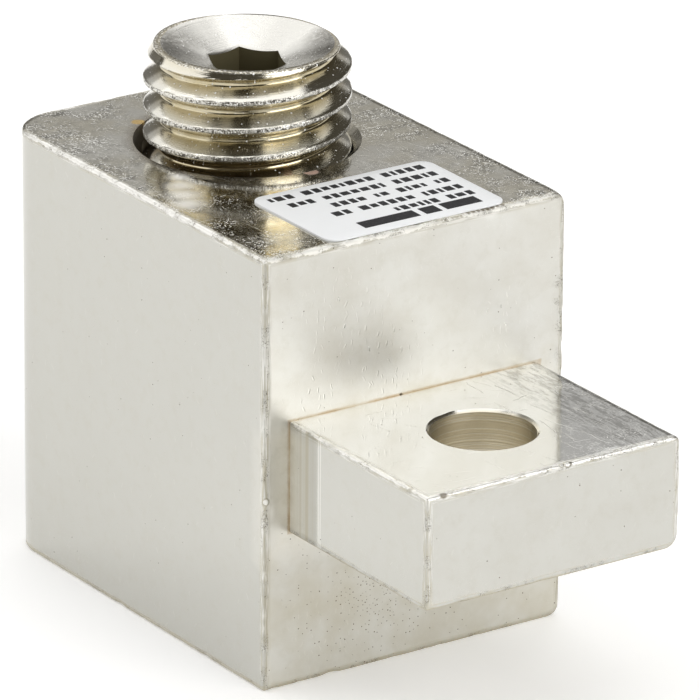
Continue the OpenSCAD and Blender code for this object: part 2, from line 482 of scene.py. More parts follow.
LABEL_CORNER = 1.2 * MM
LABEL_LIP = 0.025 * MM
film_centre = (label_low[:2] + label_high[:2]) / 2
film_half = (label_high[:2] - label_low[:2]) / 2
film_top = label_high[2]
film_rows = [
    (LABEL_CORNER, label_low[2]), (0.0, label_low[2]), (0.0, film_top - LABEL_LIP),
    (0.3 * LABEL_LIP, film_top - 0.3 * LABEL_LIP), (LABEL_LIP, film_top),
    (LABEL_CORNER, film_top),
]
rings = [rounded_ring(film_centre, film_half, LABEL_CORNER, inset) for inset, _ in film_rows]
film_grid = np.stack([np.column_stack([ring, np.full(len(ring), z)])
                      for ring, (_, z) in zip(rings, film_rows)], axis=1)
film_points, film_faces = weld(film_grid.reshape(-1, 3), cells(*film_grid.shape[:2]))


def closed_by_quad(points, faces, z):
    """Faces with one more, over the four corner points that the last ring shrank to."""
    inner = np.abs(np.abs(points[:, :2] - film_centre) - film_half + LABEL_CORNER) < 1e-6
    corners = np.flatnonzero(inner.all(1) & (np.abs(points[:, 2] - z) < 1e-6))
    around = np.arctan2(*(points[corners, :2] - film_centre).T[::-1])
    loop = corners[np.argsort(around)].tolist()
    return faces + [loop if z > block_top + LABEL_LIP else loop[::-1]]


for z in (film_top, label_low[2]):
    film_faces = closed_by_quad(film_points, film_faces, z)
film = new_piece("label_film", film_points, film_faces)
film.data.set_sharp_from_angle(angle=math.radians(50))

# %% Print
INK_T = 0.012 * MM
RIGHT_MARGIN = 1.2 * MM
LETTER_W, LETTER_GAP, WORD_GAP = 0.66 * MM, 0.25 * MM, 0.8 * MM
SMALL_ROWS = [
    # distance from the back edge in mm, and the count of blocks in each group
    (1.35, (5, 8, 3)), (3.25, (5, 7, 3)), (5.1, (2, 4, 2, 4)), (7.0, (5, 6, 2)), (8.75, (3, 6)),
]
SMALL_H = 0.98 * MM
BOLD_ROW = (10.4, 1.5, ((0.6, 3.6), (4.7, 1.6), (6.9, 5.6)))


def block_row():
    """Low and high corners of every printed block, from the label's right edge leftwards."""
    right, back = label_high[0] - RIGHT_MARGIN, label_high[1]
    for depth, groups in SMALL_ROWS:
        x, y = right, back - depth * MM
        for count in groups:
            for _ in range(count):
                width = LETTER_W * rng.choice((0.55, 0.9, 1.0, 1.0, 1.25))
                height = SMALL_H * rng.choice((0.8, 1.0, 1.0))
                yield (x - width, y - height / 2), (x, y + height / 2)
                x -= width + LETTER_GAP
            x -= WORD_GAP
    depth, height, bars = BOLD_ROW
    y = back - depth * MM
    for start, width in bars:
        x = right - start * MM
        yield (x - width * MM, y - height * MM / 2), (x, y + height * MM / 2)


corners = np.array(list(block_row()))
low_xy, high_xy = corners[:, 0], corners[:, 1]
pick = np.array([[0, 0], [1, 0], [1, 1], [0, 1]])
ring = np.where(pick == 1, high_xy[:, None], low_xy[:, None])
ink_points = np.concatenate([
    np.concatenate([ring, np.full((*ring.shape[:2], 1), z)], axis=2)
    for z in (film_top, film_top + INK_T)
], axis=1)
box_faces = np.array([[0, 3, 2, 1], [4, 5, 6, 7], [0, 1, 5, 4], [1, 2, 6, 5],
                      [2, 3, 7, 6], [3, 0, 4, 7]])
ink_faces = box_faces[None] + 8 * np.arange(len(ring))[:, None, None]
ink = new_piece("label_print", ink_points.reshape(-1, 3), ink_faces.reshape(-1, 4).tolist())
ink.data.shade_flat()
print("label print:", len(ring), "blocks")

# %% [markdown]
# ## Finishes
# Metal shows what stands round it, so its finish is mostly how it blurs and bends a
# reflection. Tin plate is a fairly sharp mirror, covered in fine scratches. Each scratch
# is a groove in the bump, so it flashes where its flank meets a lamp. Patterns read Object
# coordinates, whose unit is a metre, and heights are in millimetres.
#
# A finish is a tree of nodes. To keep its recipe readable, each number that a node gives
# is wrapped, so that + - * < > and abs() add a Math node. Most numbers are masks, which
# are 1 where a mark is and 0 where it isn't.


# %% Numbers that come from nodes
def joined(operation, swapped=False):
    """A method that joins a number to another one by a Math node."""
    def method(number, other=0.0):
        pair = (other, number) if swapped else (number, other)
        return number.nodes.maths(operation, *pair)
    return method


class Number:
    """A number that a node gives."""

    def __init__(self, nodes, socket):
        self.nodes, self.socket = nodes, socket

    __add__, __radd__ = joined("ADD"), joined("ADD", swapped=True)
    __sub__, __rsub__ = joined("SUBTRACT"), joined("SUBTRACT", swapped=True)
    __mul__, __pow__ = joined("MULTIPLY"), joined("POWER")
    __lt__, __gt__ = joined("LESS_THAN"), joined("GREATER_THAN")
    __abs__ = joined("ABSOLUTE")

    def spread(self, low, high, new_low=0, new_high=1):
        """Map from one range to another, held inside the new one."""
        return self.nodes.number("MapRange", {
            "Value": self, "From Min": low, "From Max": high,
            "To Min": new_low, "To Max": new_high}, "Result")

    def over(self, low, high, new_low=1, new_high=0):
        """The same from one distance to another in mm, which falls unless told otherwise."""
        return self.spread(low * MM, high * MM, new_low, new_high)


# %% The nodes of a material
class Nodes:
    """The nodes of a new material or world, with a method for each step of a recipe."""

    def __init__(self, name, owners=bpy.data.materials):
        self.owner = owners.new(name)
        self.owner.use_nodes = True
        self.tree = self.owner.node_tree

    def wire(self, node, inputs):
        for key, value in inputs.items():
            if isinstance(value, Number):
                value = value.socket
            if isinstance(value, bpy.types.NodeSocket):
                self.tree.links.new(value, node.inputs[key])
            else:
                node.inputs[key].default_value = value

    def add(self, kind, inputs, **settings):
        """Add a node, and return its outputs."""
        node = self.tree.nodes.new("ShaderNode" + kind)
        for key, value in settings.items():
            setattr(node, key, value)
        self.wire(node, inputs)
        return node.outputs

    def number(self, kind, inputs, output=0, **settings):
        return Number(self, self.add(kind, inputs, **settings)[output])

    def finish(self, inputs):
        """Wire the shader's own inputs, and return the material."""
        self.wire(self.tree.nodes["Principled BSDF"], inputs)
        return self.owner

    def maths(self, operation, first, *others):
        """Join values one after another by the same operation."""
        for other in others:
            first = self.number("Math", {0: first, 1: other}, operation=operation)
        return first

    def most(self, *values):
        return self.maths("MAXIMUM", *values)

    def least(self, *values):
        return self.maths("MINIMUM", *values)

    def noise(self, place, size, detail=2.0, roughness=0.5):
        """Noise whose features are about the given size in mm; its value is near 0.5."""
        return self.number("TexNoise", {"Vector": place, "Scale": 1 / (size * MM),
                                        "Detail": detail, "Roughness": roughness}, "Fac")

    def ripple(self, distance, size, detail=3.0):
        """Noise along a single distance, for the marks that a turning tool leaves."""
        inputs = {"W": distance, "Scale": 1 / (size * MM), "Detail": detail}
        return self.number("TexNoise", inputs, "Fac", noise_dimensions="1D")

    def vectors(self, operation, first, second):
        return self.add("VectorMath", {0: first, 1: second}, operation=operation)[0]

    def vector(self, x, y, z):
        return self.add("CombineXYZ", {0: x, 1: y, 2: z})[0]

    def apart(self, vector):
        return [Number(self, part) for part in self.add("SeparateXYZ", {0: vector})]

    def mixed(self, share, first, second):
        """Blend of two colours by a share from 0 to 1."""
        return self.add("Mix", {0: share, 6: first, 7: second}, data_type="RGBA")[2]

    def coated(self, colour, coats):
        """A colour under a row of coats, each a share from 0 to 1 and its own colour."""
        for share, coat in coats:
            colour = self.mixed(share, colour, coat)
        return colour

    def blended(self, share, first, second):
        """Blend of two numbers by a share from 0 to 1."""
        return self.number("Mix", {0: share, 2: first, 3: second})

    def bump(self, height, distance=MM):
        inputs = {"Height": height, "Strength": 1.0, "Distance": distance}
        return self.add("Bump", inputs)["Normal"]


# %% [markdown]
# ## Scratches on a flat face
# A scratch lies in its face, so the pattern needs two coordinates that run along whichever
# face the point is on. Each Voronoi cell then holds one straight scratch at most: the
# cell's own random colour turns it and says whether it is there.


# %% Face coordinates and scratches
def face_place(n, place, normal):
    """(y, z) on faces that look along X, (x, z) along Y and (x, y) along Z."""
    x, y, z = n.apart(place)
    facing = n.apart(n.add("VectorMath", {0: normal}, operation="ABSOLUTE")[0])
    return n.vector(n.blended(facing[0] > 0.6, x, y), n.blended(facing[2] > 0.6, z, y), 0)


def scratches(n, place, cell, length, width, share, turns=(0, math.pi)):
    """1 on the line of one scratch in each cell, 0 at its width and past its ends. The
    cell, the scratch's length and its width are in mm."""
    scaled = n.add("VectorMath", {0: place, "Scale": 1 / (cell * MM)}, operation="SCALE")[0]
    voronoi = n.add("TexVoronoi", {"Vector": scaled, "Scale": 1.0},
                    voronoi_dimensions="2D")
    chance = n.apart(voronoi["Color"])
    turned = n.add("VectorRotate", {
        "Vector": n.vectors("SUBTRACT", scaled, voronoi["Position"]),
        "Angle": chance[0].spread(0, 1, *turns),
    }, rotation_type="Z_AXIS")[0]
    x, y, _ = n.apart(turned)
    return (abs(x).spread(0.35 * length / cell, 0.5 * length / cell, 1, 0)
            * abs(y).spread(0.15 * width / cell, 0.5 * width / cell, 1, 0)
            * (chance[1] < share) * chance[2].spread(0, 1, 0.3, 1))


# %% [markdown]
# ## Where the block is worn
# Wear follows the edges, dirt sits round the tongue's root, and the plate is darker round
# the screw. These need distances, worked out in the material from the CAD's own boxes.


# %% Distances on a box
def depths_inside(n, place, low, high):
    """Distance from the point to a box's three pairs of faces, positive inside."""
    centre, half = (low + high) / 2, (high - low) / 2
    away = n.add("VectorMath", {0: n.vectors("SUBTRACT", place, tuple(centre))},
                 operation="ABSOLUTE")[0]
    return n.apart(n.vectors("SUBTRACT", tuple(half), away))


def edge_gap(n, place, low, high):
    """Distance along a box's skin to its nearest edge: the middle one of three depths."""
    a, b, c = depths_inside(n, place, low, high)
    return n.most(n.least(a, b), n.least(n.most(a, b), c))


def root_gap(n, place):
    """Distance to the corner where the tongue's four sides meet the block's front face."""
    a, _, c = depths_inside(n, place, tongue_low, tongue_high)
    _, y, _ = n.apart(place)
    outside = n.most(n.least(a, c) * -1, 0)
    ahead = y - front_y
    return n.maths("SQRT", outside * outside + ahead * ahead, 0.0)


def axis_gap(n, place, x, y):
    """Distance to an upright axis."""
    level = n.vectors("MULTIPLY", n.vectors("SUBTRACT", place, (x, y, 0)), (1, 1, 0))
    return n.number("VectorMath", {0: level}, "Value", operation="LENGTH")


def along_edges(n, place, gap, width):
    """Streaks of noise that run with the edges: the distance to the edge counts in full,
    the place along it hardly at all."""
    x, y, z = n.apart(place)
    return n.noise(n.vector(gap, (x + y) * 0.05, z * 0.05), width, 2, 0.6)


# %% Mark the drilled walls
def on_radius(points, axis_point, across, radius, low_y, high_y):
    """1 for points at the radius from an axis, between two values of Y, else 0."""
    away = np.linalg.norm((points - axis_point)[:, across], axis=1)
    between = (points[:, 1] > low_y) & (points[:, 1] < high_y)
    return ((np.abs(away - radius) < 0.02 * MM) & between).astype(np.float32)


vertices = mesh_points(block.data)
bored = np.maximum(
    on_radius(vertices, bolt_hole["pos_m"], [0, 1], bolt_r, tongue_low[1], front_y),
    on_radius(vertices, (0, 0, bore_z), [0, 2], bore_r, front_y + MM, back_y - 0.1 * MM))
block.data.attributes.new("bored", "FLOAT", "POINT").data.foreach_set("value", bored)
print("points on drilled walls:", int(bored.sum()))

# %% [markdown]
# ## Marks with a place of their own
# Chips, beads of tin, struck spots and pores, and painted light and shade: pale spots of
# painted reflection and a brightened patch on the lid, a painted shadow under the label's
# front edge and painted shade in the screw's dish. Each is a soft ball, given by the X, Y
# and Z of its middle in the frame and by its radius, all in mm.

# %% Listed marks
RADIATING = [(9.7, 11.6, 38.75, 2.6), (-10.0, 3.6, 38.75, 1.8), (-12.2, 22.0, 38.75, 3.0)]
KNOCKED_DARK = [(-11.1, -30.6, 24.0, 0.6), (-1.5, -10.4, 24.0, 0.36)]
# Painted shadow: a row of dark spots under the label's front edge, where it hangs over.
LABEL_EDGE_SHADOW = [(x, -10.0, 38.75, 0.42) for x in (5.4, 5.9, 6.4, 6.9, 7.4, 7.9, 8.4, 8.9)]
BEADS = [(-15.05, -10.35, 17.2, 0.55), (1.3, -30.6, 24.0, 0.6), (0.7, -30.6, 24.0, 0.45)]
STROKED = [(-6.0, -10.4, 33.0, 6.5), (8.6, -10.4, 29.0, 4.0), (-10.0, -10.4, 26.2, 2.6),
           (-3.0, -10.4, 28.0, 4.5), (-9.0, -10.4, 5.0, 5.0)]
# Painted reflection: pale spots on the lid that stand in for the screw's mirrored thread, and show
# from every view.
PAINTED_REFLECTION_SPOTS = [(-10.2, 10.4, 38.75, 1.5), (-11.2, 8.6, 38.75, 1.9), (-12.2, 6.6, 38.75, 2.1),
           (-13.2, 4.6, 38.75, 2.0)]
BURRED = [(15.2, -10.4, 28.0, 5.5)]
PORES = [(-3.5, -10.4, 6.6, 9)]
# Where the screw is mirrored in the lid the plate is paler: partly wiped clean, partly painted to
# brighten that reflection.
MIRROR = [(-8.5, 2.5, 38.75, 10)]
GOLD = [(-5.6, 24.0, 38.75, 0.85)]
PINK = [(-0.1, 5.4, 38.75, 0.95)]
# Dark patches in the screw's dish: partly real mottling, partly painted shade in place of dark
# reflections.
DISH_PATCHES = [(-5.2, 20.0, 46.9, 3.4), (-6.4, 16.4, 46.9, 3.6), (-5.2, 12.6, 46.9, 3.2),
                (7.3, 13.2, 46.9, 2.8), (5.7, 10.4, 46.9, 2.8)]
CUTTER_END_Y = -14.9


def spots(n, place, marks, soft=0.5, ragged=0.0):
    """1 inside a soft ball round each mark, 0 from its radius on. A noise added to the
    distance makes the border ragged."""
    balls = []
    for *centre, radius in marks:
        ends = {0: place, 1: [c * MM for c in centre]}
        away = n.number("VectorMath", ends, "Value", operation="DISTANCE") + ragged
        balls.append(away.spread((1 - soft) * radius * MM, radius * MM, 1, 0))
    return n.most(*balls)


# %% [markdown]
# ## Tin plate
# The recipe asks where a point is on the block, how its edges are worn, how its faces are
# scratched, where dirt sits and where light and shade are painted into the plate. Then it
# lays these over the plate as coats of colour, each over those before it, and adds up
# roughness and height.

# %% Colours of the plate
PLATE = (0.662, 0.656, 0.616, 1)
PLATE_DULL = (0.620, 0.608, 0.560, 1)
# Paler plate where the screw is mirrored, partly painted to brighten the reflection.
POLISHED_AND_BRIGHTENED = (0.92, 0.905, 0.855, 1)
BARE_WALL = (0.785, 0.73, 0.60, 1)
# Painted light: a lighter copy of the plate for the tongue's level top.
LIT_TONGUE_TOP_PLATE = (0.718, 0.717, 0.704, 1)
# Painted shade: a darker copy of the plate for faces that look left and for the tongue's front.
SHADED_SIDE_PLATE = (0.548, 0.542, 0.500, 1)
# Painted light: a lighter copy of the plate near the tongue's root.
LIT_ROOT_PLATE = (0.775, 0.755, 0.69, 1)
# Worn metal, and also the pale paint of the painted reflection spots on the lid.
WORN_AND_PAINTED_REFLECTION = (0.93, 0.92, 0.88, 1)
OLIVE = (0.50, 0.455, 0.33, 1)
RUST = (0.50, 0.41, 0.285, 1)
GOLD_CHIP = (0.62, 0.42, 0.13, 1)
PINK_CHIP = (0.80, 0.56, 0.46, 1)
SMEAR = (0.52, 0.50, 0.43, 1)
SHADE = (0.17, 0.165, 0.145, 1)
# Dark marks, and also the painted shadow under the label's front edge.
DARK_MARK_AND_SHADOW = (0.13, 0.095, 0.05, 1)


# %% Places on the block
def on_block(n):
    """Coordinates of a point, masks for the faces it may be on, and shared noises."""
    coordinates = n.add("TexCoord", {})
    place, normal = coordinates["Object"], coordinates["Normal"]
    x, y, z = n.apart(place)
    facing = n.apart(normal)
    level = facing[2].spread(0.5, 0.8)
    on_tongue = y < front_y - 0.1 * MM
    wall = n.number("Attribute", {}, "Fac", attribute_name="bored")
    tongue_and_root = tongue_low, tongue_high + np.array([0, 30 * MM, 0])
    return SimpleNamespace(
        place=place, face=face_place(n, place, normal), x=x, y=y, z=z, facing=facing,
        level=level, upright=1 - level, on_tongue=on_tongue, lid=level * (1 - on_tongue),
        front=facing[1].spread(-0.8, -0.5, 1, 0) * (y > front_y - 0.2 * MM),
        left=facing[0].spread(-0.8, -0.5, 1, 0), wall=wall, plain=1 - wall,
        gap=n.blended(on_tongue, edge_gap(n, place, block_low, block_high),
                      edge_gap(n, place, *tongue_and_root)),
        foot=z - n.blended(on_tongue, 0.0, float(tongue_low[2])),
        clouds=n.noise(place, 5, 3, 0.6),
        patches=n.noise(place, 2.2, 4, 0.65).spread(0.42, 0.62),
        ragged=n.noise(place, 0.45, 3, 0.75))


# %% Worn edges
def edge_wear(n, at):
    """Bright rubbed edges, streaks that run with them, fine cracks, and darker undersides near the
    foot.
    """
    upper = (n.noise(at.place, 3.5, 2, 0.5).spread(0.3, 0.45, 0.45, 1)
             * at.facing[2].spread(0.02, 0.12))
    wander = n.noise(at.place, 1.6, 2, 0.5) - 0.5
    bite = (at.ragged - 0.5) * (0.7 * MM) + wander * (0.9 * MM)
    rubbed = upper * (at.gap + bite + at.on_tongue * (0.08 * MM)).over(0.26, 0.36)
    streaks = along_edges(n, at.place, at.gap, 0.11)
    near_edge = at.gap.over(0.35, 0.75)
    gleam = (near_edge * streaks.spread(0.40, 0.46, 1, 0) * at.facing[2].spread(-0.15, -0.05)
             * (abs(at.foot) > 0.9 * MM))
    burred = (spots(n, at.place, BURRED, 0.6) * at.front
              * n.noise(at.place, 0.9, 2, 0.5).spread(0.46, 0.56))
    chipped = at.gap.over(0.3, 0.55) * n.noise(at.place, 1.3, 2, 0.5).spread(0.50, 0.58)
    split = abs(n.noise(at.place, 0.28, 2, 0.6) - 0.52).spread(0.008, 0.022, 1, 0)
    cracks = n.most(chipped, burred * at.gap.over(0.7, 1.3)) * split
    under = at.foot.over(0.45, 0.95) * at.facing[2].spread(-0.35, -0.12, 1, 0)
    return SimpleNamespace(rubbed=rubbed, streaks=streaks, near_edge=near_edge, gleam=gleam,
                           lined=near_edge * streaks.spread(0.50, 0.58), cracks=cracks,
                           under=under)


# %% Scratched faces
def face_wear(n, at):
    """Scratches crowd on the lid near its edges, long ones cross level faces, and short
    struck marks stand on the front."""
    crowd = (at.gap.over(1.0, 7, 1, 0.25)
             * n.noise(at.place, 2.6, 3, 0.6).spread(0.44, 0.60, 0.15, 1))
    busy = n.most(spots(n, at.place, RADIATING, 0.6), crowd) * (
        at.lid + at.on_tongue * at.level * at.x.over(2, 6, 0.15, 0.6) + at.upright * 0.05)
    sway = n.add("TexNoise", {"Vector": at.place, "Scale": 700.0})["Color"]
    warped = n.vectors("ADD", at.face, n.vectors("MULTIPLY", sway, (0.5 * MM, 0.5 * MM, 0)))
    short = scratches(n, warped, 0.46, 0.42, 0.085, 0.6)
    tiny = scratches(n, at.face, 0.26, 0.15, 0.10, 0.55)
    long = scratches(n, warped, 2.6, 4.4, 0.075, 0.8, (1.15, 1.75))
    crossing = scratches(n, warped, 2.1, 2.2, 0.065, 0.5, (-0.5, 1.1))
    hair = (long + crossing) * at.level * n.blended(at.on_tongue, 0.4, at.x.over(2, 6, 0.5, 1.2))
    # Painted reflection: pale, partly non-metal spots where the screw's thread is mirrored in the
    # lid.
    painted_reflection = at.lid * spots(n, at.place, PAINTED_REFLECTION_SPOTS, 0.8)
    grime = at.lid * crowd * n.noise(at.place, 0.5, 4, 0.7).spread(0.40, 0.55, 0, 0.8)
    drawn_out = n.vectors("MULTIPLY", at.place, (1, 0.2, 1))
    scuffed = (at.on_tongue * at.level * at.x.over(5.5, 8.5, 0, 1)
               * n.noise(drawn_out, 0.35, 4, 0.75).spread(0.46, 0.58, 0, 0.5))
    strokes = scratches(n, warped, 0.85, 0.5, 0.15, 0.6, (1.1, 2.0))
    nicks = scratches(n, warped, 2.3, 0.6, 0.13, 0.55, (0.7, 2.6))
    struck = strokes * at.front * spots(n, at.place, STROKED, 0.6) + nicks * at.upright * 0.35
    return SimpleNamespace(
        fine=(short + tiny) * busy, hair=hair, painted_reflection=painted_reflection, marks=struck * at.plain,
        # Paler plate where the screw is mirrored: partly wiped clean, partly painted light that
        # brightens the reflection.
        polished_and_brightened=at.lid * spots(n, at.place, MIRROR, 0.35),
        grime=n.most(grime * (1 - painted_reflection), scuffed),
        smears=at.upright * n.noise(warped, 1.5, 4, 0.72).spread(0.50, 0.70, 0, 0.24))


# %% Dirt, pores, painted shadow and shade, and the tongue's root
def dirt_pores_and_shade(n, at, cracks):
    """Pores low on the front, a rusty line round the root, a darker ring round the screw,
    the end of the cutter's path on the tongue's left side, knocks and beads, a painted
    shadow under the label's front edge, and painted shade low on the front."""
    low_on_front = at.front * at.z.over(11, 15, 1, 0.1)
    cluster = at.front * spots(n, at.place, PORES, 0.8)
    holes = n.add("TexVoronoi", {"Vector": at.face, "Scale": 1 / (0.42 * MM)},
                  voronoi_dimensions="2D")
    chance = n.apart(holes["Color"])
    pits = ((Number(n, holes["Distance"]) < chance[1].spread(0, 1, 0.06, 0.14))
            * (chance[0] < 0.006 + low_on_front * 0.05 + cluster * cluster * 0.75) * at.plain)
    root = root_gap(n, at.place)
    crease = ((root + at.ragged * (0.16 * MM)).over(0.16, 0.30)
              * n.noise(at.place, 3.5, 3, 0.6).spread(0.35, 0.6, 0.25, 0.9)
              * n.blended(at.level, 1.0, at.x.over(-11.5, -7, 0.2, 1)))
    axis = axis_gap(n, at.place, screw_x, screw_y)
    # The plate darkens round the screw's hole.
    ring = ((at.z > 30 * MM) * (axis + at.ragged * (0.8 * MM)).spread(
        crest_r + 0.9 * MM, crest_r + 2.3 * MM, 0.92, 0)) * at.x.over(-2, 6, 1, 0.3)
    from_cut = abs(abs(at.y - CUTTER_END_Y * MM) - 0.14 * MM)
    flank = at.on_tongue * at.left
    uncut = flank * at.y.over(CUTTER_END_Y + 0.1, CUTTER_END_Y + 0.6, 0, 1)
    rough_edge = at.ragged * (0.3 * MM)
    # Knocks, and the painted shadow under the label's front edge.
    knocks_and_label_shadow = spots(n, at.place, KNOCKED_DARK + LABEL_EDGE_SHADOW, 0.3, rough_edge)
    stain = root.over(0, 1.8, 0.30) * at.patches
    # Murk: olive stain near the root, clouds low on the front that are partly dirt and partly
    # painted shade, and darkening along the bottom edges.
    murk = n.most(stain, low_on_front * at.clouds.spread(0.35, 0.65, 0.08, 0.38),
                  at.gap.over(0, 1.1, 0.55) * (at.z < 0.5 * MM))
    return SimpleNamespace(
        root=root, crease=crease, pits=pits, uncut=uncut, murk=murk,
        cutter=from_cut.over(0.03, 0.09) * flank,
        drawn=uncut * n.ripple(at.y, 0.7).spread(0.45, 0.7, 0, 0.5),
        beads=spots(n, at.place, BEADS, 0.4, rough_edge),
        gold=spots(n, at.place, GOLD, 0.3, rough_edge),
        pink=spots(n, at.place, PINK, 0.3, rough_edge),
        dark_marks_and_label_shadow=n.most(ring, pits * 0.85, cracks * 0.8, knocks_and_label_shadow * 0.7))


# %% Tin plate on the block
def tin_plate():
    n = Nodes("tin_plate")
    at = on_block(n)
    edge = edge_wear(n, at)
    face = face_wear(n, at)
    dirt_and_shade = dirt_pores_and_shade(n, at, edge.cracks)
    tool = n.ripple(n.blended(at.on_tongue, at.y, at.z), 0.16)
    # Painted shade: faces that look left, and the tongue's front, get a darker plate.
    side = n.most(at.left, at.on_tongue * at.facing[1].spread(-0.8, -0.5, 0.6, 0))
    # Painted light: a lighter plate near the tongue's root, mostly below the tongue's top.
    lit_near_root = (dirt_and_shade.root.over(0.8, 3.4, 0.85)
              * at.z.over(22.5, 24, 1, 0.2))
    shade = n.noise(at.place, 6, 3, 0.6).spread(0.42, 0.58, 0.12, 0.55)
    plate = n.mixed(at.clouds.spread(0.35, 0.65), PLATE, PLATE_DULL)
    colour = n.coated(plate, [
        # Painted light: the tongue's level top gets a lighter plate.
        (at.on_tongue * at.level * 0.85, LIT_TONGUE_TOP_PLATE),
        # Painted shade on the left faces and the tongue's front.
        (side * 0.85, SHADED_SIDE_PLATE),
        # Painted light near the tongue's root.
        (lit_near_root, LIT_ROOT_PLATE),
        (face.smears, SMEAR),
        (at.lid * shade, OLIVE),
        # Paler plate where the screw is mirrored, partly painted light.
        (face.polished_and_brightened * 0.9, POLISHED_AND_BRIGHTENED),
        (face.grime, SHADE),
        # Painted reflection: pale spots where the screw's thread is mirrored in the lid.
        (face.painted_reflection * 0.85, WORN_AND_PAINTED_REFLECTION),
        (edge.gleam * 0.5, WORN_AND_PAINTED_REFLECTION),
        (edge.lined * 0.5, OLIVE),
        (edge.rubbed * 0.9, WORN_AND_PAINTED_REFLECTION),
        (n.most(face.marks * 0.25, dirt_and_shade.cutter * 0.4), WORN_AND_PAINTED_REFLECTION),
        (n.least(face.fine * 2.6, 1), WORN_AND_PAINTED_REFLECTION),
        (face.hair * 0.45, WORN_AND_PAINTED_REFLECTION),
        # Olive: stain and painted shade low on the front, the cutter's drawn marks, and darker
        # undersides near the foot.
        (n.most(dirt_and_shade.murk, dirt_and_shade.drawn, edge.under * 0.6), OLIVE),
        (dirt_and_shade.crease * 0.9, RUST),
        (at.wall, BARE_WALL),
        (at.wall * tool.spread(0.55, 0.65, 0, 0.7), WORN_AND_PAINTED_REFLECTION),
        # Dark marks, and the painted shadow under the label's front edge.
        (dirt_and_shade.dark_marks_and_label_shadow, DARK_MARK_AND_SHADOW),
        (dirt_and_shade.beads.spread(0.0, 0.5, 0, 0.6), OLIVE),
        (dirt_and_shade.beads.spread(0.5, 0.8), WORN_AND_PAINTED_REFLECTION),
        (dirt_and_shade.gold, GOLD_CHIP),
        (dirt_and_shade.pink, PINK_CHIP),
    ])
    frost = at.patches * at.lid
    rough = (0.06 + frost * 0.07 + at.front * n.blended(face.marks, 0.36, 0.2)
             + at.wall * 0.25 + dirt_and_shade.uncut * 0.42 + face.fine * 0.50 + face.hair * 0.35
             + n.most(edge.rubbed, edge.near_edge) * 0.32 + dirt_and_shade.dark_marks_and_label_shadow * 0.3)
    grain = n.noise(at.place, 0.16, 2, 0.6)
    height = (n.noise(at.place, 6, 1, 0.5) * 0.015
              + grain * n.blended(frost, 0.0012, 0.005)
              + edge.rubbed * at.ragged * 0.035 + edge.streaks * edge.near_edge * 0.02
              + tool * at.wall * 0.022 + (face.fine + face.hair) * at.plain * -0.016
              + face.marks * 0.022 + edge.cracks * -0.03 + dirt_and_shade.beads * 0.12
              + dirt_and_shade.pits * -0.03)
    crumbs = n.most(dirt_and_shade.gold, dirt_and_shade.pink) * 0.7
    metal_share = 1 - n.most(crumbs, face.painted_reflection * 0.7, face.fine * 0.6)
    return n.finish({"Base Color": colour, "Metallic": metal_share, "Roughness": rough,
                     "Normal": n.bump(height)})


# %% [markdown]
# ## Plate on the screw
# The screw is brighter than the block, with brass in the roots of its thread, and black
# flecks and painted white glints on its chewed crests and rim. Dust has settled on it, the
# dish is mottled, partly with painted shade, and the socket's walls are dark.

# %% Bright plate on the screw
BRIGHT = (0.718, 0.703, 0.650, 1)
BRASSY = (0.49, 0.42, 0.255, 1)
DISH_METAL = (0.64, 0.63, 0.595, 1)
DISH_SHADE = (0.20, 0.19, 0.165, 1)
SOCKET_WALL = (0.215, 0.188, 0.105, 1)
# White for dust and for the painted glints on the chewed crests.
DUST_AND_PAINTED_GLINT = (0.95, 0.945, 0.92, 1)
DARK_FLECK = (0.05, 0.042, 0.028, 1)


